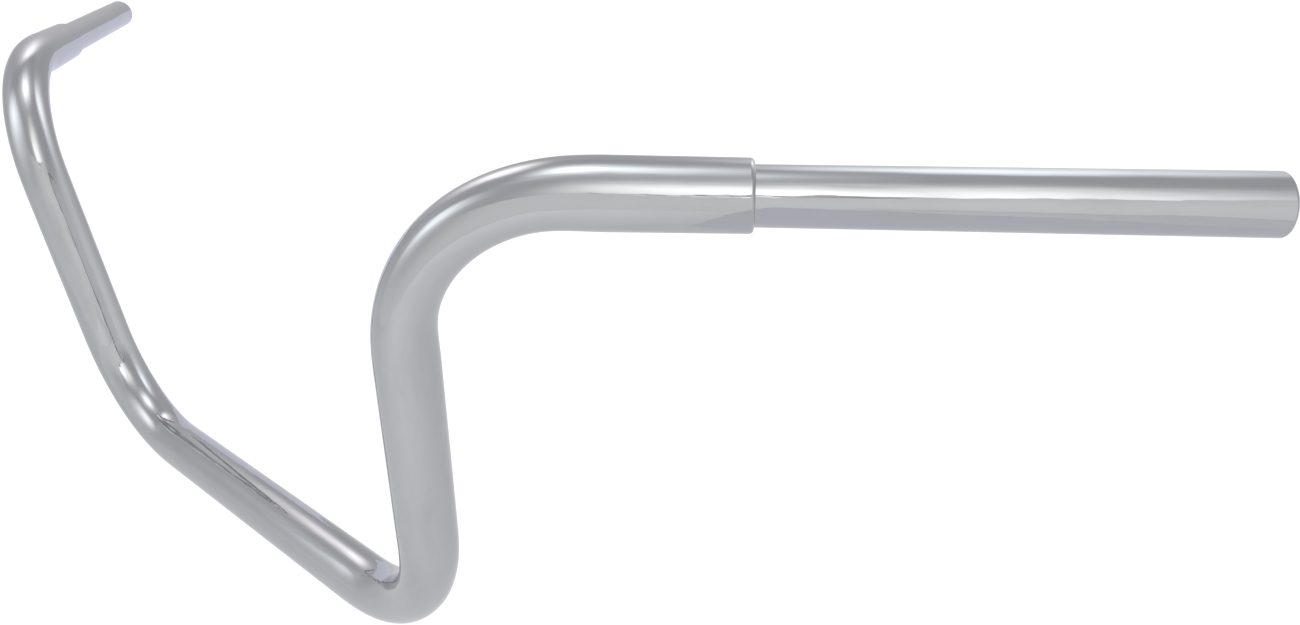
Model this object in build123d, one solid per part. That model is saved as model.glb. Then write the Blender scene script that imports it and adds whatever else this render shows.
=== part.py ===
from build123d import *
import os
from math import pi, sin, sqrt

os.makedirs("parts", exist_ok=True)

# A motorcycle handlebar of the mid-rise kind: one thick tube bent four times,
# with a thinner tube let into each end for the hand grips.
# Millimetres. +X is the rider's right, +Y is forwards and +Z is up.
# The origin is the middle of the straight section that the risers clamp.

# ---- driving dimensions ----------------------------------------------------
INCH = 25.4

MAIN_DIAMETER = 1.25 * INCH
MAIN_WALL = 0.120 * INCH
GRIP_DIAMETER = 1.0 * INCH
GRIP_WALL = 0.120 * INCH
BEND_RADIUS = 3.25 * INCH       # centreline radius of all four bends

LOWER_CORNER_X = 187.5          # where the centre line and a riser line meet
UPPER_CORNER_X = 226.5          # the risers spread outwards on their way up
RISE = 273.0                    # clamp axis up to the grip axis
RISER_LEAN = 38.5               # the risers lean forwards by this much over the rise
PULL_BACK = 167.0               # clamp axis back to the middle of a grip's end
GRIP_END_X = 506.5              # half of the overall width, on the axis

GRIP_LENGTH = 195.0             # bare length of each grip tube
SPIGOT_LENGTH = 60.0            # its length inside the main tube
GROOVE_DEPTH = 0.3              # a groove turned in the grip tube at the mouth, for the braze
GROOVE_INSIDE = 1.3             # from this far inside the main tube
GROOVE_OUTSIDE = 0.1            # to this far outside it

BEND_FLATTENING = 0.09          # a bend's section is thinner by this share, in its own plane
BEND_STATIONS = 8               # sections along each bend
END_TAPER = 0.035               # share by which the main tube is polished down at its mouth
TAPER_LENGTH = 60.0
MOUTH_ROUND = 1.8               # outer edge of the main tube's mouth
MOUTH_CHAMFER = 0.8             # inner edge of the main tube's mouth
GRIP_END_ROUND = 1.2
GRIP_BORE_CHAMFER = 0.5
SPIGOT_CHAMFER = 1.0

BRAZE_RECESS = 0.3              # the braze stops this far below the mouth
BRAZE_DEPTH = 4.0               # and runs this deep
PLUG_DIAMETER = 8.0             # holes for the plug welds, under each arm
PLUG_DISTANCES = (18.0, 42.0)   # from the mouth

# ---- sizes that follow -----------------------------------------------------
MAIN_RADIUS = MAIN_DIAMETER / 2
MAIN_BORE_RADIUS = MAIN_RADIUS - MAIN_WALL
GRIP_RADIUS = GRIP_DIAMETER / 2
GRIP_BORE_RADIUS = GRIP_RADIUS - GRIP_WALL
GROOVE_RADIUS = GRIP_RADIUS - GROOVE_DEPTH
MOUTH_RADIUS = MAIN_RADIUS * (1 - END_TAPER)
OVERCUT = 1.0                   # how far cutting tools run past a face

SIDES = {"left": -1, "right": 1}
ON_END = (Align.CENTER, Align.CENTER, Align.MIN)


def corners(side):
    """The lower corner, the upper corner and the grip's end of one side."""
    lower = Vector(side * LOWER_CORNER_X, 0, 0)
    upper = Vector(side * UPPER_CORNER_X, RISER_LEAN, RISE)
    end = Vector(side * GRIP_END_X, -PULL_BACK, RISE)
    return lower, upper, end


def outward(side):
    """The direction of one arm, from its bend to the grip's end."""
    _, upper, end = corners(side)
    return (end - upper).normalized()


def mouth(side):
    """A plane across one end of the main tube, with its normal along the grip, outwards."""
    _, _, end = corners(side)
    return Plane(origin=end - outward(side) * GRIP_LENGTH, z_dir=outward(side))


def rod(radius, start, end):
    """A round bar along Z from start to end."""
    return Pos(0, 0, start) * Cylinder(radius, end - start, align=ON_END)


# ---- the main tube ---------------------------------------------------------
def straight(edge, radius):
    """A round bar along a straight edge."""
    return Plane(origin=edge @ 0, z_dir=edge % 0) * Cylinder(radius, edge.length, align=ON_END)


def bend(edge, radius):
    """A bar along an arc, round at both ends and flattened towards the middle."""
    across = (edge % 0).cross(edge % 1)
    sections = []
    for station in range(BEND_STATIONS + 1):
        along = station / BEND_STATIONS
        flattening = BEND_FLATTENING * sqrt(max(0.0, sin(pi * along)))
        plane = Plane(origin=edge @ along, x_dir=across, z_dir=edge % along)
        sections.append(plane * Ellipse(radius, radius * (1 - flattening)))
    return sweep(sections, path=edge, multisection=True)


def bent_bar(radius):
    """The main tube's whole line as a solid bar, up to where its ends begin to taper."""
    left_lower, left_upper, _ = corners(-1)
    right_lower, right_upper, _ = corners(1)
    line = FilletPolyline(
        mouth(-1).origin - outward(-1) * TAPER_LENGTH,
        left_upper,
        left_lower,
        right_lower,
        right_upper,
        mouth(1).origin - outward(1) * TAPER_LENGTH,
        radius=BEND_RADIUS,
    )
    bar = Part()
    for edge in line.edges():
        if edge.geom_type == GeomType.CIRCLE:
            bar += bend(edge, radius)
        else:
            bar += straight(edge, radius)
    return bar


def tapered_end(side):
    """The last stretch of the main tube, solid, polished slightly thinner, with a round lip."""
    end = Cone(MAIN_RADIUS, MOUTH_RADIUS, TAPER_LENGTH, align=ON_END)
    end = fillet(end.edges().sort_by(Axis.Z)[-1], MOUTH_ROUND)
    return mouth(side) * Pos(0, 0, -TAPER_LENGTH) * end


def end_bore(side):
    """What is cut from one end: the straight bore and the chamfer at its mouth."""
    bore = rod(MAIN_BORE_RADIUS, -TAPER_LENGTH, OVERCUT)
    mouth_cone = Pos(0, 0, -MOUTH_CHAMFER) * Cone(
        MAIN_BORE_RADIUS, MAIN_BORE_RADIUS + MOUTH_CHAMFER, MOUTH_CHAMFER, align=ON_END
    )
    return mouth(side) * (bore + mouth_cone)


def plug_holes(side):
    """Round bars that fill the plug-weld holes, straight down from the arm's axis."""
    at_mouth = mouth(side).origin
    bars = Part()
    for distance in PLUG_DISTANCES:
        centre = at_mouth - outward(side) * distance
        bars += Plane(origin=centre, z_dir=(0, 0, -1)) * Cylinder(
            PLUG_DIAMETER / 2, MAIN_RADIUS + OVERCUT, align=ON_END
        )
    return bars


outer_bar = bent_bar(MAIN_RADIUS) + tapered_end(-1) + tapered_end(1)
main_tube = outer_bar - bent_bar(MAIN_BORE_RADIUS) - end_bore(-1) - end_bore(1)
main_tube = main_tube - plug_holes(-1) - plug_holes(1)
export_step(main_tube, "parts/main_tube.step")


# ---- the pieces at each end ------------------------------------------------
def grip_tube(side):
    """A straight tube: a spigot inside the main tube, a groove at the mouth, then the bare grip."""
    outside = chamfer(
        rod(GRIP_RADIUS, -SPIGOT_LENGTH, -GROOVE_INSIDE).edges().sort_by(Axis.Z)[0], SPIGOT_CHAMFER
    )
    outside += rod(GROOVE_RADIUS, -GROOVE_INSIDE, GROOVE_OUTSIDE)
    outside += fillet(
        rod(GRIP_RADIUS, GROOVE_OUTSIDE, GRIP_LENGTH).edges().sort_by(Axis.Z)[-1], GRIP_END_ROUND
    )
    bore = rod(GRIP_BORE_RADIUS, -SPIGOT_LENGTH, GRIP_LENGTH)
    bore_chamfer = Pos(0, 0, GRIP_LENGTH - GRIP_BORE_CHAMFER) * Cone(
        GRIP_BORE_RADIUS, GRIP_BORE_RADIUS + GRIP_BORE_CHAMFER, GRIP_BORE_CHAMFER, align=ON_END
    )
    return mouth(side) * (outside - bore - bore_chamfer)


def seal_braze(side):
    """A ring of braze that fills the groove and closes the mouth before the bar is plated."""
    outline = Polyline(
        (GROOVE_RADIUS, -BRAZE_RECESS),
        (MAIN_BORE_RADIUS + MOUTH_CHAMFER - BRAZE_RECESS, -BRAZE_RECESS),
        (MAIN_BORE_RADIUS, -MOUTH_CHAMFER),
        (MAIN_BORE_RADIUS, -BRAZE_DEPTH),
        (GRIP_RADIUS, -BRAZE_DEPTH),
        (GRIP_RADIUS, -GROOVE_INSIDE),
        (GROOVE_RADIUS, -GROOVE_INSIDE),
        close=True,
    )
    ring = revolve(Plane.XZ * make_face(outline), Axis.Z)
    return mouth(side) * ring


def plug_welds(side):
    """Two welds that fill the holes down to the spigot and are ground flush with the arm."""
    core = mouth(side) * rod(GRIP_RADIUS, -SPIGOT_LENGTH, 0)
    return (plug_holes(side) & outer_bar) - core


for name, side in SIDES.items():
    export_step(grip_tube(side), f"parts/{name}_grip_tube.step")
    export_step(seal_braze(side), f"parts/{name}_seal_braze.step")
    export_step(plug_welds(side), f"parts/{name}_plug_welds.step")

# The lengths of the straight stretches, as made.
lower, upper, end = corners(1)
riser_line = (upper - lower).normalized()
lower_tangent = BEND_RADIUS * sqrt((1 - riser_line.X) / (1 + riser_line.X))
upper_turn_cos = riser_line.dot(outward(1))
upper_tangent = BEND_RADIUS * sqrt((1 - upper_turn_cos) / (1 + upper_turn_cos))
print("clamp section", 2 * (LOWER_CORNER_X - lower_tangent))
print("riser straight", (upper - lower).length - lower_tangent - upper_tangent)
print("arm straight", (mouth(1).origin - upper).length - upper_tangent)
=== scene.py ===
import math

import bpy
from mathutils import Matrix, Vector


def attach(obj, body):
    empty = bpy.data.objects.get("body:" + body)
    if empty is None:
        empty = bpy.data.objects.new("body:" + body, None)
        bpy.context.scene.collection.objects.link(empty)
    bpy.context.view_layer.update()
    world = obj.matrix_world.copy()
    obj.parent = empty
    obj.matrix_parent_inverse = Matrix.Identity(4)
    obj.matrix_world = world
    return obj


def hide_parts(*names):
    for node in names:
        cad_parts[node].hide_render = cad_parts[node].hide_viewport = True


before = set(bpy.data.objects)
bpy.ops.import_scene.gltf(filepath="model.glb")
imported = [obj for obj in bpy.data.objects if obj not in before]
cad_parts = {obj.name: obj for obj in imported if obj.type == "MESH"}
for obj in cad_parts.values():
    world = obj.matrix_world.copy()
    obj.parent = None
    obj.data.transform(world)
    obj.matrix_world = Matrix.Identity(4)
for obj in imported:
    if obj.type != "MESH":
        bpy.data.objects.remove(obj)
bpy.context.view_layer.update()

# A chromed motorcycle handlebar. Metres throughout. +X is the rider's right, +Y forwards
# and +Z up; the origin is the middle of the straight section that the risers clamp.

# ---- the bar's sizes, as in the CAD model apart from its bends, which are eased here ----
MAIN_RADIUS = 0.015875
MAIN_BORE_RADIUS = 0.012827
GRIP_RADIUS = 0.0127
GRIP_BORE_RADIUS = 0.009652
BEND_RADIUS = 0.082            # of the centre line, in the middle of a bend
BEND_EASE = 0.025              # the stretch over which a bend's curve comes in and dies away
FLATTENING_EASE = 0.040        # and over which its flattening does
LOWER_CORNER = Vector((0.1875, 0.0, 0.0))
UPPER_CORNER = Vector((0.2265, 0.0385, 0.273))
GRIP_END = Vector((0.5065, -0.167, 0.273))
GRIP_LENGTH = 0.195
SPIGOT_LENGTH = 0.060
GROOVE_RADIUS = 0.0124         # a groove in the grip tube at the mouth, filled with braze
GROOVE_INSIDE = 0.0013
GROOVE_OUTSIDE = 0.0001
BEND_FLATTENING = 0.08         # share by which a bend's section is thinner in its own plane
END_TAPER = 0.035              # share by which the main tube is polished down at its mouth
TAPER_LENGTH = 0.060
MOUTH_ROUND = 0.0018
MOUTH_CHAMFER = 0.0008
GRIP_END_ROUND = 0.0012
GRIP_BORE_CHAMFER = 0.0005
SPIGOT_CHAMFER = 0.001
PLUG_RADIUS = 0.004            # the plug welds under each arm
PLUG_DISTANCES = (0.018, 0.042)    # from the mouth
PLUG_GAP = 0.00005             # they stop this far inside the tube's surface (see plug_welds)

# ---- mesh fineness -------------------------------------------------------------------
AROUND = 128                   # points round every tube
BEND_WALK = 400                # steps by which a bend's shape is worked out
STEP = 0.002                   # between rings along the outside
BORE_STEP = 0.006              # between rings along a bore
ARC_STEPS = 10                 # rings over a rounded edge
PLUG_AROUND = 64               # points round a plug weld
PLUG_RINGS = 6                 # rings from its middle to its rim
SUPPORT = 0.00015              # a ring this close to an edge keeps the surface beside it true
SHARP = math.radians(35)       # edges that turn more than this stay crisp
ROUNDING_ROOM = 0.00005        # a radius this much over a limit still counts as within it

ARM = (GRIP_END - UPPER_CORNER).normalized()
MOUTH = GRIP_END - ARM * GRIP_LENGTH
SIDES = {"left": -1, "right": 1}


def on_side(point, side):
    """A point or direction given for the right side, mirrored for the left."""
    return Vector((side * point.x, point.y, point.z))


# ---- centre lines --------------------------------------------------------------------
def eased(share):
    """A smooth step from 0 to 1."""
    share = min(max(share, 0.0), 1.0)
    return share * share * (3 - 2 * share)


def eased_area(share):
    """The area under the smooth step, up to share."""
    share = min(max(share, 0.0), 1.0)
    return share ** 3 - share ** 4 / 2


class Bend:
    """A bend in its own plane, from the origin along +x towards +y, easing in and out of its radius."""

    def __init__(self, turn):
        self.turn = turn
        self.length = BEND_RADIUS * turn + BEND_EASE
        self.walk = [Vector((0.0, 0.0))]
        step = self.length / BEND_WALK
        for i in range(BEND_WALK):
            angle = self.angle((i + 0.5) * step)
            self.walk.append(self.walk[-1] + Vector((math.cos(angle), math.sin(angle))) * step)
        self.tangent = self.walk[-1].y / math.sin(turn)

    def angle(self, distance):
        """How far the direction has turned by this distance."""
        if distance > self.length / 2:
            return self.turn - self.angle(self.length - distance)
        plain = max(0.0, distance - BEND_EASE)
        return (BEND_EASE * eased_area(distance / BEND_EASE) + plain) / BEND_RADIUS

    def place(self, distance):
        number = min(distance / self.length * BEND_WALK, BEND_WALK - 1e-9)
        whole = int(number)
        return self.walk[whole].lerp(self.walk[whole + 1], number - whole)

    def flattening(self, distance):
        to_end = min(distance, self.length - distance)
        return BEND_FLATTENING * eased(to_end / FLATTENING_EASE)


class Line:
    """Straights joined by bends, by distance along it."""

    def __init__(self, points):
        self.spans = []
        here = points[0]
        for before, corner, after in zip(points, points[1:], points[2:]):
            into = (corner - before).normalized()
            out = (after - corner).normalized()
            bend = Bend(into.angle(out))
            start = corner - into * bend.tangent
            inward = (out - into * out.dot(into)).normalized()
            self.spans.append((here, into, (start - here).length, None, None))
            self.spans.append((start, into, bend.length, inward, bend))
            here = corner + out * bend.tangent
        last = (points[-1] - points[-2]).normalized()
        self.spans.append((here, last, (points[-1] - here).length, None, None))
        self.length = sum(span[2] for span in self.spans)

    def at(self, distance):
        """The point, the direction, the bend's inward normal or None, and the flattening."""
        for start, into, length, inward, bend in self.spans[:-1]:
            if distance <= length:
                break
            distance -= length
        else:
            start, into, length, inward, bend = self.spans[-1]
        if bend is None:
            return start + into * distance, into, None, 0.0
        place = bend.place(distance)
        angle = bend.angle(distance)
        direction = into * math.cos(angle) + inward * math.sin(angle)
        normal = inward * math.cos(angle) - into * math.sin(angle)
        return start + into * place.x + inward * place.y, direction, normal, bend.flattening(distance)


# ---- swept meshes ----------------------------------------------------------------------
def spokes_along(line, distances):
    """For each distance: the point on the line and AROUND unit spokes, with no twist between them."""
    frames = {}
    across = None
    previous = None
    for distance in sorted(set(distances)):
        point, direction, inward, flattening = line.at(distance)
        if across is None:
            across = direction.orthogonal().normalized()
        else:
            across = previous.rotation_difference(direction) @ across
            across = (across - direction * across.dot(direction)).normalized()
        previous = direction
        other = direction.cross(across)
        spokes = []
        for k in range(AROUND):
            angle = 2 * math.pi * k / AROUND
            spoke = across * math.cos(angle) + other * math.sin(angle)
            if inward is not None:
                spoke = spoke - inward * spoke.dot(inward) * flattening
            spokes.append(spoke)
        frames[distance] = (point, spokes)
    return frames


def smooth_piece(name, verts, faces):
    """An object with smooth shading and crisp edges."""
    mesh = bpy.data.meshes.new(name)
    mesh.from_pydata(verts, [], faces)
    mesh.validate()
    mesh.shade_smooth()
    mesh.set_sharp_from_angle(angle=SHARP)
    piece = bpy.data.objects.new(name, mesh)
    bpy.context.scene.collection.objects.link(piece)
    return piece


def swept_piece(name, line, profile):
    """A closed solid of revolution bent along a line, from (distance, radius) rows in a loop."""
    frames = spokes_along(line, [distance for distance, _ in profile])
    verts = []
    straightened = []
    for distance, radius in profile:
        point, spokes = frames[distance]
        for k, spoke in enumerate(spokes):
            angle = 2 * math.pi * k / AROUND
            verts.append(point + spoke * radius)
            straightened += [radius * math.cos(angle), radius * math.sin(angle), distance]
    faces = []
    for i in range(len(profile)):
        j = (i + 1) % len(profile)
        for k in range(AROUND):
            m = (k + 1) % AROUND
            faces.append((i * AROUND + k, i * AROUND + m, j * AROUND + m, j * AROUND + k))
    piece = smooth_piece(name, verts, faces)
    # The same tube laid out straight, so that polishing marks can follow it round its bends.
    layer = piece.data.attributes.new("straightened", "FLOAT_VECTOR", "POINT")
    layer.data.foreach_set("vector", straightened)
    return piece


def spaced(start, end, step):
    """Evenly spaced values from start to end, both included."""
    count = max(1, round(abs(end - start) / step))
    return [start + (end - start) * i / count for i in range(count + 1)]


def rounded_edge(length, radius, rounding):
    """(distance, radius) rows over a rounded outer edge of an end face at length."""
    rows = []
    for i in range(ARC_STEPS + 1):
        angle = math.pi / 2 * i / ARC_STEPS
        away = rounding * (1 - math.sin(angle))
        rows.append((length - away, radius - rounding * (1 - math.cos(angle))))
    return rows


# ---- the pieces ------------------------------------------------------------------------
def outer_radius(to_mouth):
    """The main tube's outer radius at a distance from the nearer mouth."""
    return MAIN_RADIUS * (1 - END_TAPER * max(0.0, 1 - to_mouth / TAPER_LENGTH))


def bent_main_tube():
    """The thick tube, from the left mouth to the right one."""
    corners = [MOUTH, UPPER_CORNER, LOWER_CORNER]
    points = [on_side(point, -1) for point in corners] + corners[::-1]
    line = Line(points)
    length = line.length
    lip = rounded_edge(length, outer_radius(MOUTH_ROUND), MOUTH_ROUND)
    outside = spaced(MOUTH_ROUND + SUPPORT, length - MOUTH_ROUND - SUPPORT, STEP)
    inside = spaced(length - MOUTH_CHAMFER - SUPPORT, MOUTH_CHAMFER + SUPPORT, BORE_STEP)
    profile = [(length - distance, radius) for distance, radius in reversed(lip)]
    profile += [(distance, outer_radius(min(distance, length - distance))) for distance in outside]
    profile += lip
    profile += [(length, MAIN_BORE_RADIUS + MOUTH_CHAMFER)]
    profile += [(length - MOUTH_CHAMFER, MAIN_BORE_RADIUS)]
    profile += [(distance, MAIN_BORE_RADIUS) for distance in inside]
    profile += [(MOUTH_CHAMFER, MAIN_BORE_RADIUS)]
    profile += [(0.0, MAIN_BORE_RADIUS + MOUTH_CHAMFER)]
    return swept_piece("bent_main_tube", line, profile)


def grip_end(name, side):
    """The thin tube: a spigot inside the main tube, a groove at the mouth, then the bare grip."""
    start = on_side(MOUTH - ARM * SPIGOT_LENGTH, side)
    line = Line([start, on_side(GRIP_END, side)])
    length = line.length
    groove_start = SPIGOT_LENGTH - GROOVE_INSIDE
    groove_end = SPIGOT_LENGTH + GROOVE_OUTSIDE
    spigot = spaced(SPIGOT_CHAMFER + SUPPORT, groove_start - SUPPORT, BORE_STEP)
    grip = spaced(groove_end + SUPPORT, length - GRIP_END_ROUND - SUPPORT, STEP)
    inside = spaced(length - GRIP_BORE_CHAMFER - SUPPORT, SUPPORT, BORE_STEP)
    profile = [(0.0, GRIP_RADIUS - SPIGOT_CHAMFER), (SPIGOT_CHAMFER, GRIP_RADIUS)]
    profile += [(distance, GRIP_RADIUS) for distance in spigot]
    profile += [(groove_start, GRIP_RADIUS), (groove_start, GROOVE_RADIUS)]
    profile += [(groove_end, GROOVE_RADIUS), (groove_end, GRIP_RADIUS)]
    profile += [(distance, GRIP_RADIUS) for distance in grip]
    profile += rounded_edge(length, GRIP_RADIUS, GRIP_END_ROUND)
    profile += [(length, GRIP_BORE_RADIUS + GRIP_BORE_CHAMFER)]
    profile += [(length - GRIP_BORE_CHAMFER, GRIP_BORE_RADIUS)]
    profile += [(distance, GRIP_BORE_RADIUS) for distance in inside]
    profile += [(0.0, GRIP_BORE_RADIUS)]
    return swept_piece(name, line, profile)


def plug_sheet(side, distance, radius_at):
    """A round patch of the surface under one arm: its middle, then its rings from the middle out."""
    centre = on_side(MOUTH - ARM * distance, side)
    along = on_side(ARM, side)
    up = Vector((0.0, 0.0, 1.0))
    across = up.cross(along)
    verts = []
    for ring in range(PLUG_RINGS + 1):
        for k in range(PLUG_AROUND if ring else 1):
            angle = 2 * math.pi * k / PLUG_AROUND
            forward = PLUG_RADIUS * ring / PLUG_RINGS * math.cos(angle)
            aside = PLUG_RADIUS * ring / PLUG_RINGS * math.sin(angle)
            below = math.sqrt(radius_at(distance - forward) ** 2 - aside ** 2)
            verts.append(centre + along * forward + across * aside - up * below)
    return verts


def plug_welds(name, side):
    """The two welds under an arm, each a closed plug from the spigot to just inside the surface.

    The main tube's mesh has no holes for them, so flush welds would share its surface exactly
    and the two would show in stripes.
    """
    verts = []
    faces = []
    for distance in PLUG_DISTANCES:
        lower = len(verts)
        verts += plug_sheet(side, distance, lambda to_mouth: outer_radius(to_mouth) - PLUG_GAP)
        upper = len(verts)
        verts += plug_sheet(side, distance, lambda to_mouth: GRIP_RADIUS)
        for k in range(PLUG_AROUND):
            m = (k + 1) % PLUG_AROUND
            faces.append((upper, upper + 1 + k, upper + 1 + m))
            faces.append((lower, lower + 1 + m, lower + 1 + k))
            for ring in range(PLUG_RINGS - 1):
                near = 1 + ring * PLUG_AROUND
                far = near + PLUG_AROUND
                faces.append([upper + i for i in (near + k, far + k, far + m, near + m)])
                faces.append([lower + i for i in (near + m, far + m, far + k, near + k)])
            rim = 1 + (PLUG_RINGS - 1) * PLUG_AROUND
            faces.append((lower + rim + k, lower + rim + m, upper + rim + m, upper + rim + k))
    return smooth_piece(name, verts, faces)


# ---- shader helpers ----------------------------------------------------------------------
class Shader:
    """A new material with short ways to add and link its nodes."""

    def __init__(self, name):
        self.material = bpy.data.materials.new(name)
        self.material.use_nodes = True
        self.tree = self.material.node_tree
        self.tree.nodes.clear()

    def add(self, kind, inputs=None, **settings):
        """A node of one kind, its inputs set to values or linked to other nodes' sockets."""
        made = self.tree.nodes.new("ShaderNode" + kind)
        for setting, value in settings.items():
            setattr(made, setting, value)
        for key, value in (inputs or {}).items():
            if isinstance(value, bpy.types.NodeSocket):
                self.tree.links.new(value, made.inputs[key])
            else:
                made.inputs[key].default_value = value
        return made

    def math(self, operation, *values):
        return self.add("Math", dict(enumerate(values)), operation=operation).outputs[0]

    def vector(self, operation, *values):
        return self.add("VectorMath", dict(enumerate(values)), operation=operation).outputs[0]

    def noise(self, place, size, detail=2.0, roughness=0.5, stretch=(1.0, 1.0, 1.0)):
        """Smooth noise from 0 to 1 whose features are about size metres across."""
        scaled = self.vector("MULTIPLY", place, stretch)
        settings = {"Vector": scaled, "Scale": 1.0 / size, "Detail": detail, "Roughness": roughness}
        return self.add("TexNoise", settings).outputs["Fac"]

    def spread(self, value, low, high, to_low=0.0, to_high=1.0):
        """value from low..high mapped smoothly onto to_low..to_high."""
        inputs = {"Value": value, 1: low, 2: high, 3: to_low, 4: to_high}
        return self.add("MapRange", inputs, interpolation_type="SMOOTHSTEP").outputs["Result"]

    def blend(self, share, first, second):
        """One colour turning into another as share goes from 0 to 1."""
        inputs = {0: share, 6: first, 7: second}
        return self.add("Mix", inputs, data_type="RGBA").outputs[2]

    def finish(self, surface):
        self.add("OutputMaterial", {"Surface": surface})
        return self.material


def laid_straight(shader):
    """Where a point lies on the tube laid out straight: across it in x and y, along it in z."""
    return shader.add("Attribute", attribute_name="straightened").outputs["Vector"]


def in_place(shader):
    """Where a point lies on the object, for pieces that aren't laid out straight."""
    return shader.add("TexCoord").outputs["Object"]


# ---- materials ---------------------------------------------------------------------------
CHROMIUM = (0.549, 0.556, 0.554, 1.0)      # reflectance of polished chromium
HAZED_CHROMIUM = (0.505, 0.512, 0.500, 1.0)
BARE_STEEL = (0.52, 0.50, 0.47, 1.0)
STAINED_STEEL = (0.34, 0.28, 0.22, 1.0)
BRAZE = (0.42, 0.36, 0.27, 1.0)
DARK_BRAZE = (0.13, 0.115, 0.10, 1.0)

ALONG = (1.0, 1.0, 0.3)        # marks drawn out along the tube
LONG = (1.0, 1.0, 0.05)        # and drawn out further, as fine streaks
ROUND = (0.12, 0.12, 1.0)      # marks drawn out round the tube, as a polishing belt leaves them
DRAWN = (1.0, 1.0, 0.03)       # lines along a bore, from drawing the tube

# Chrome: how large each kind of mark is, and how deep those in the surface are.
WAVE_SIZE = 0.022
WAVE_DEPTH = 0.0006
STREAK_SIZE = 0.0025
STREAK_DEPTH = 0.00006
BELT_SIZE = 0.0004
BELT_DEPTH = 0.0000003
HAZE_SIZE = 0.018
WIPED_SIZE = 0.006
CLEAR_ROUGHNESS = 0.02
HAZED_ROUGHNESS = 0.06

# The bore: how far in the plating starts and stops fading, and its marks.
PLATING_FADE = (0.004, 0.016)
PLATING_RAGGEDNESS = 0.004     # how far its edge wanders in and out, and how often
STAIN_SIZE = 0.009
DRAWN_SIZE = 0.0008
DRAWN_DEPTH = 0.00006
PLATED_BORE_ROUGHNESS = 0.12
BARE_BORE_ROUGHNESS = 0.48
OXIDISED_METALLIC = 0.3        # oxide keeps bare steel from reflecting like clean metal

# The braze.
GRAIN_SIZE = 0.0009
GRAIN_DEPTH = 0.00012
BRAZE_PATCH_SIZE = 0.004


def chrome(name, place_of):
    """Chromium plate over hand-polished steel: waves, streaks, belt marks and a little haze."""
    shader = Shader(name)
    place = place_of(shader)
    waves = shader.noise(place, WAVE_SIZE, detail=2.5, stretch=ALONG)
    belt = shader.noise(place, BELT_SIZE, detail=2.0, stretch=ROUND)
    haze = shader.noise(place, HAZE_SIZE, detail=5.0, roughness=0.62, stretch=ALONG)
    wiped = shader.noise(place, WIPED_SIZE, detail=3.0, roughness=0.6, stretch=ALONG)
    streaks = shader.noise(place, STREAK_SIZE, detail=3.0, stretch=LONG)
    normal = None
    for height, depth in ((waves, WAVE_DEPTH), (streaks, STREAK_DEPTH), (belt, BELT_DEPTH)):
        inputs = {"Strength": 1.0, "Distance": depth, "Height": height}
        if normal:
            inputs["Normal"] = normal
        normal = shader.add("Bump", inputs).outputs[0]
    hazy = shader.spread(haze, 0.42, 0.78)
    smeared = shader.spread(wiped, 0.45, 0.8, 0.0, 0.35)
    dulled = shader.math("MAXIMUM", hazy, smeared)
    surface = shader.add(
        "BsdfPrincipled",
        {
            "Base Color": shader.blend(dulled, CHROMIUM, HAZED_CHROMIUM),
            "Metallic": 1.0,
            "Roughness": shader.spread(dulled, 0.0, 1.0, CLEAR_ROUGHNESS, HAZED_ROUGHNESS),
            "Normal": normal,
        },
    )
    return shader.finish(surface.outputs[0])


def tube_bore(name, open_end):
    """Bare, lightly oxidised steel inside a tube, with the plating fading out near its open end."""
    shader = Shader(name)
    place = laid_straight(shader)
    along = shader.add("SeparateXYZ", {0: place}).outputs[2]
    depth = shader.math("SUBTRACT", open_end, along)
    ragged = shader.noise(place, PLATING_RAGGEDNESS, detail=4.0, roughness=0.6)
    wander = shader.spread(ragged, 0.2, 0.8, -PLATING_RAGGEDNESS, PLATING_RAGGEDNESS)
    bare = shader.spread(shader.math("ADD", depth, wander), *PLATING_FADE)
    stains = shader.spread(shader.noise(place, STAIN_SIZE, detail=5.0, roughness=0.65), 0.45, 0.7)
    drawn = shader.noise(place, DRAWN_SIZE, detail=3.0, stretch=DRAWN)
    steel = shader.blend(stains, BARE_STEEL, STAINED_STEEL)
    bump = shader.add("Bump", {"Strength": 0.7, "Distance": DRAWN_DEPTH, "Height": drawn})
    surface = shader.add(
        "BsdfPrincipled",
        {
            "Base Color": shader.blend(bare, CHROMIUM, steel),
            "Metallic": shader.spread(bare, 0.0, 1.0, 1.0, OXIDISED_METALLIC),
            "Roughness": shader.spread(bare, 0.0, 1.0, PLATED_BORE_ROUGHNESS, BARE_BORE_ROUGHNESS),
            "Normal": bump.outputs[0],
        },
    )
    return shader.finish(surface.outputs[0])


def braze(name):
    """A fillet of braze in the crevice of the joint, dull and darkened, with thin plating on it."""
    shader = Shader(name)
    place = in_place(shader)
    grain = shader.noise(place, GRAIN_SIZE, detail=4.0, roughness=0.6)
    patches = shader.spread(shader.noise(place, BRAZE_PATCH_SIZE, detail=3.0), 0.35, 0.65)
    bump = shader.add("Bump", {"Strength": 0.8, "Distance": GRAIN_DEPTH, "Height": grain})
    surface = shader.add(
        "BsdfPrincipled",
        {
            "Base Color": shader.blend(patches, BRAZE, DARK_BRAZE),
            "Metallic": 1.0,
            "Roughness": shader.spread(grain, 0.2, 0.8, 0.35, 0.6),
            "Normal": bump.outputs[0],
        },
    )
    return shader.finish(surface.outputs[0])


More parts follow.
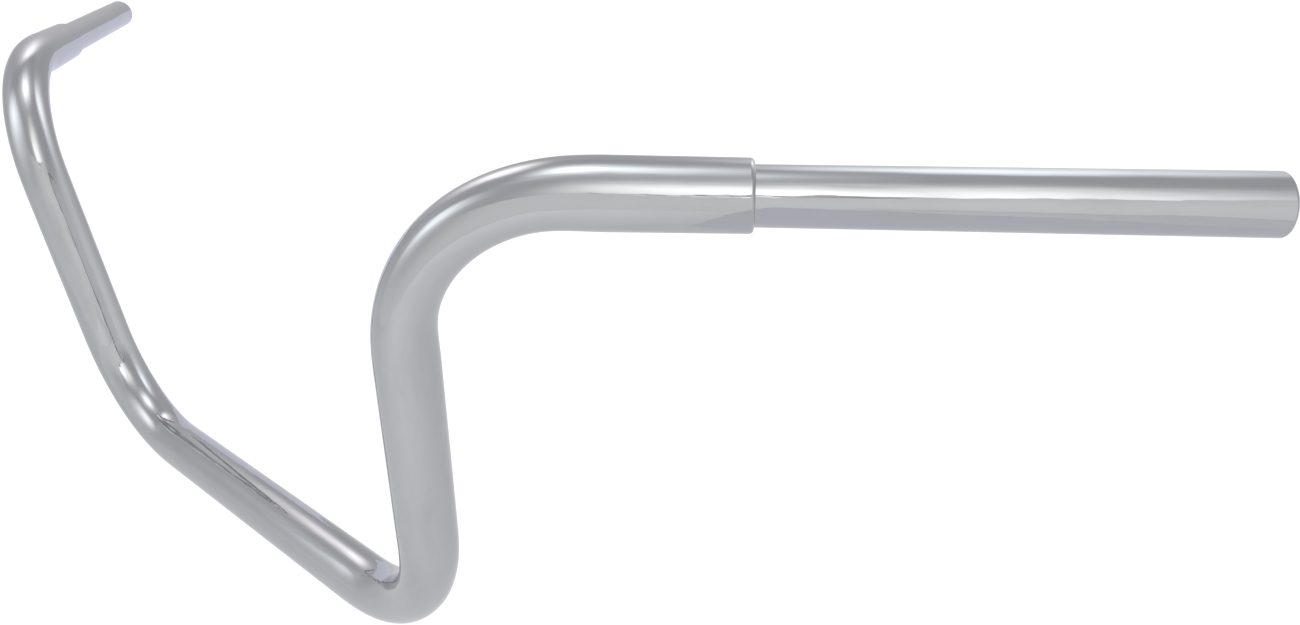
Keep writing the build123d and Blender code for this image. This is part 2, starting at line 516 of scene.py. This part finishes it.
# ---- the studio ----------------------------------------------------------------------------
# A light tent round the bar: pale fabric with six soft lamps behind it, white paper that throws
# two soft lights back up onto it, plain cards, and a thin dark wedge of painted shade along the white
# card's top edge. Only mirror-like reflections see the tent, so it never hides the bar from a camera,
# and the plain white surroundings light everything else.
TENT_LOW = Vector((-1.2, -0.8, -0.16))
TENT_HIGH = Vector((0.8, 0.6, 1.8))
FLOOR_Z = TENT_LOW.z - 0.005   # the floor lies just below the tent's paper
FLOOR_RADIUS = 8.0
FLOOR_CORNERS = 64
SURROUNDING_LIGHT = 1.1
CARD_GAP = 0.01                # between a card and the wall or card behind it

PLAIN = (1.0, 1.0, 1.0)
COOL = (0.95, 1.0, 1.05)
PINK = (1.03, 0.97, 1.02)

FABRIC = (0.52, 0.52, 0.56)
# Each lamp: the middle of its glow, how wide and how tall the glow is, its strength and tint.
LAMPS = [
    ((0.8, -0.3, 1.1), 0.3, 0.4, 1.5, PINK),       # behind the right wall, the key light
    ((-0.2, -0.8, 1.0), 0.3, 0.5, 1.2, COOL),      # behind the rear wall
    ((-1.2, 0.5, 1.2), 0.45, 0.7, 0.9, PLAIN),      # behind the left wall
    ((-0.9, 0.5, 0.7), 0.35, 0.35, 1.4, PLAIN),    # in the corner by the camera
    ((0.4, 0.6, 0.6), 0.3, 0.3, 1.2, COOL),        # behind the front wall
    ((0.0, 0.1, 1.8), 0.4, 0.5, 1.7, COOL),        # above
    ((0.0, 0.5, -0.2), 1.2, 0.4, 0.3, PLAIN),      # light thrown up from the paper in front
    ((-0.7, -0.7, 0.0), 0.8, 0.4, 0.3, PLAIN),     # and from the paper at the back
]
PAPER = (0.70, 0.70, 0.74)
PAPER_LIGHT = [((-0.5, 0.6, TENT_LOW.z), 0.6, 1.0, 0.25, PLAIN)]      # the paper is lighter in front

WHITE_CARD = (0.82, 0.83, 0.85)
WHITE_CARD_LIGHT = [((-1.2, 0.6, 0.2), 0.6, 0.5, 0.12, PLAIN)]      # it is lighter in the corner
WHITE_CARD_TOP = 0.45          # it stands this high along the front wall,
CORNER_CARD_TOP = 0.65         # and this high in the corner by the camera
CORNER_CARD_RIGHT = -0.95      # where the higher part ends, and where the lower part begins
WHITE_CARD_LEFT = -0.9
WHITE_CARD_RIGHT = 0.2
WHITE_CARD_FADE = (-0.4, 0.1)  # along the front wall it fades out over this range of x
CORNER_CARD_BACK = 0.0         # it runs this far back along the left wall
CARD_EDGE_SHADE = (0.55, 0.55, 0.52)     # painted shade: a thin dark wedge along the white card's top edge near the corner, where it lies in shade, its corners in x and z
CARD_EDGE_SHADE_OUTLINE = [(-1.1, 0.5), (-0.5, 0.45), (-1.1, 0.59)]      # in x and z
GREY_CARD = (0.75, 0.75, 0.88)
GREY_CARD_TOP = 0.3
GREY_CARD_BACK = -0.8          # it stands along the right wall from here
GREY_CARD_FRONT = 0.0          # to here
BLUE_CARD = (0.71, 0.71, 0.78)
BLUE_CARD_Z = 0.1              # it lies flat below the left grip
BLUE_CARD_PLAN = [(-0.6, 0.25), (-0.33, -0.03), (-0.33, -0.4), (-0.6, -0.4)]


def glowing(name, base, glows, fade=None):
    """An even glow of one colour with soft patches of light added, clear beyond a range of x."""
    shader = Shader(name)
    place = shader.add("NewGeometry").outputs["Position"]
    total = shader.vector("MULTIPLY", base, PLAIN)
    for centre, wide, tall, strength, tint in glows:
        offset = shader.vector("SUBTRACT", place, centre)
        scaled = shader.vector("MULTIPLY", offset, (1 / wide, 1 / wide, 1 / tall))
        squared = shader.add("VectorMath", {0: scaled, 1: scaled}, operation="DOT_PRODUCT")
        falling = shader.math("EXPONENT", shader.math("MULTIPLY", squared.outputs["Value"], -1.0))
        colour = [strength * channel for channel in tint]
        light = shader.add("VectorMath", {0: colour, "Scale": falling}, operation="SCALE")
        total = shader.vector("ADD", total, light.outputs[0])
    surface = shader.add("Emission", {"Color": total}).outputs[0]
    if fade:
        along = shader.add("SeparateXYZ", {0: place}).outputs[0]
        clear = shader.add("BsdfTransparent").outputs[0]
        faded = shader.spread(along, *fade)
        surface = shader.add("MixShader", {0: faded, 1: surface, 2: clear}).outputs[0]
    return shader.finish(surface)


def stage_piece(name, verts, faces, material, mirrors_only=True):
    """Part of the studio, which isn't part of the object."""
    mesh = bpy.data.meshes.new(name)
    mesh.from_pydata(verts, [], faces)
    mesh.materials.append(material)
    piece = bpy.data.objects.new(name, mesh)
    bpy.context.scene.collection.objects.link(piece)
    if mirrors_only:
        piece.visible_camera = False
        piece.visible_diffuse = False
        piece.visible_shadow = False


def tent():
    """The tent's walls and ceiling, and its paper floor."""
    low, high = TENT_LOW, TENT_HIGH
    plan = [(low.x, low.y), (high.x, low.y), (high.x, high.y), (low.x, high.y)]
    verts = [(x, y, z) for z in (low.z, high.z) for x, y in plan]
    walls = [(0, 1, 5, 4), (1, 2, 6, 5), (2, 3, 7, 6), (3, 0, 4, 7), (4, 5, 6, 7)]
    stage_piece("tent_fabric", verts, walls, glowing("tent_fabric", FABRIC, LAMPS))
    stage_piece("tent_paper", verts[:4], [range(4)], glowing("tent_paper", PAPER, PAPER_LIGHT))


def card(name, corners, colour, glows=(), fade=None):
    """A flat card with straight edges."""
    stage_piece(name, corners, [range(len(corners))], glowing(name, colour, glows, fade))


def upright(x, back, front, foot, top):
    """The corners of a card that stands along a side wall."""
    return [(x, back, top), (x, front, top), (x, front, foot), (x, back, foot)]


def cards():
    """A white card in the corner and along the front with a thin dark wedge of painted shade on its top
    edge, a grey one on the right and a blue one flat.
    """
    foot = TENT_LOW.z
    front = TENT_HIGH.y - CARD_GAP
    left = TENT_LOW.x + CARD_GAP
    right = TENT_HIGH.x - CARD_GAP
    outline = [
        (left, CORNER_CARD_TOP),
        (CORNER_CARD_RIGHT, CORNER_CARD_TOP),
        (WHITE_CARD_LEFT, WHITE_CARD_TOP),
        (WHITE_CARD_RIGHT, WHITE_CARD_TOP),
        (WHITE_CARD_RIGHT, foot),
        (left, foot),
    ]
    along_front = [(x, front, z) for x, z in outline]
    card("front_card", along_front, WHITE_CARD, WHITE_CARD_LIGHT, fade=WHITE_CARD_FADE)
    # painted shade: a thin dark wedge just in front of the white card's top edge
    edge = [(x, front - CARD_GAP, z) for x, z in CARD_EDGE_SHADE_OUTLINE]
    card("painted_card_edge_shade", edge, CARD_EDGE_SHADE)
    on_left = upright(left, CORNER_CARD_BACK, front, foot, CORNER_CARD_TOP)
    card("corner_card", on_left, WHITE_CARD, WHITE_CARD_LIGHT)
    on_right = upright(right, GREY_CARD_BACK, GREY_CARD_FRONT, foot, GREY_CARD_TOP)
    card("grey_card", on_right, GREY_CARD)
    card("blue_card", [(x, y, BLUE_CARD_Z) for x, y in BLUE_CARD_PLAN], BLUE_CARD)


def pale_floor():
    """A wide white floor, which can be looked through from below."""
    shader = Shader("pale_floor")
    white = shader.add("BsdfDiffuse", {"Color": (1.0, 1.0, 1.0, 1.0)}).outputs[0]
    clear = shader.add("BsdfTransparent").outputs[0]
    below = shader.add("NewGeometry").outputs["Backfacing"]
    material = shader.finish(shader.add("MixShader", {0: below, 1: white, 2: clear}).outputs[0])
    verts = []
    for k in range(FLOOR_CORNERS):
        angle = 2 * math.pi * k / FLOOR_CORNERS
        verts.append((FLOOR_RADIUS * math.cos(angle), FLOOR_RADIUS * math.sin(angle), FLOOR_Z))
    stage_piece("floor", verts, [range(FLOOR_CORNERS)], material, mirrors_only=False)


def surroundings():
    """Even white light from all round."""
    world = bpy.data.worlds.new("surroundings")
    world.use_nodes = True
    background = world.node_tree.nodes["Background"]
    background.inputs["Color"].default_value = (1.0, 1.0, 1.0, 1.0)
    background.inputs["Strength"].default_value = SURROUNDING_LIGHT
    bpy.context.scene.world = world


# ---- camera --------------------------------------------------------------------------------
SENSOR_WIDTH = 36.0            # in millimetres, as the lens is
LENS = 28.8
LENS_SHIFT = (0.063, -0.076)
CAMERA_PLACE = (-0.575, 0.284, 0.397)
CAMERA_TURN = (71.95, 1.4, -135.9)     # degrees about x, y and z


def camera():
    """A standing person's view of the left grip, from in front of it and a little above."""
    data = bpy.data.cameras.new("camera")
    data.sensor_width = SENSOR_WIDTH
    data.lens = LENS
    data.shift_x, data.shift_y = LENS_SHIFT
    made = bpy.data.objects.new("camera", data)
    made.location = CAMERA_PLACE
    made.rotation_euler = [math.radians(turn) for turn in CAMERA_TURN]
    bpy.context.scene.collection.objects.link(made)
    bpy.context.scene.camera = made


# ---- assembly --------------------------------------------------------------------------------
def inside_faces(piece, limit):
    """Gives the faces nearer to the tube's own axis than limit the piece's second material."""
    mesh = piece.data
    place = [item.vector.copy() for item in mesh.attributes["straightened"].data]
    for face in mesh.polygons:
        radii = [math.hypot(place[v].x, place[v].y) for v in face.vertices]
        if max(radii) < limit:
            face.material_index = 1


def dress(node, material):
    """Gives a carried-over CAD node its material."""
    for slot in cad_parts[node].material_slots:
        slot.material = material


main_chrome = chrome("main_chrome", laid_straight)
grip_chrome = chrome("grip_chrome", laid_straight)
weld_chrome = chrome("weld_chrome", in_place)
grip_bore = tube_bore("grip_bore", SPIGOT_LENGTH + GRIP_LENGTH)
joint_braze = braze("joint_braze")

main_tube = bent_main_tube()
main_tube.data.materials.append(main_chrome)
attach(main_tube, "root")
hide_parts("main_tube")

for name, side in SIDES.items():
    grip = grip_end(name + "_grip_end", side)
    grip.data.materials.append(grip_chrome)
    grip.data.materials.append(grip_bore)
    inside_faces(grip, GRIP_BORE_RADIUS + ROUNDING_ROOM)
    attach(grip, "root")
    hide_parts(name + "_grip_tube")
    dress(name + "_seal_braze", joint_braze)
    welds = plug_welds(name + "_ground_welds", side)
    welds.data.materials.append(weld_chrome)
    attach(welds, "root")
    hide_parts(name + "_plug_welds")

camera()
tent()
cards()
pale_floor()
surroundings()
bpy.context.scene.view_settings.view_transform = "Standard"
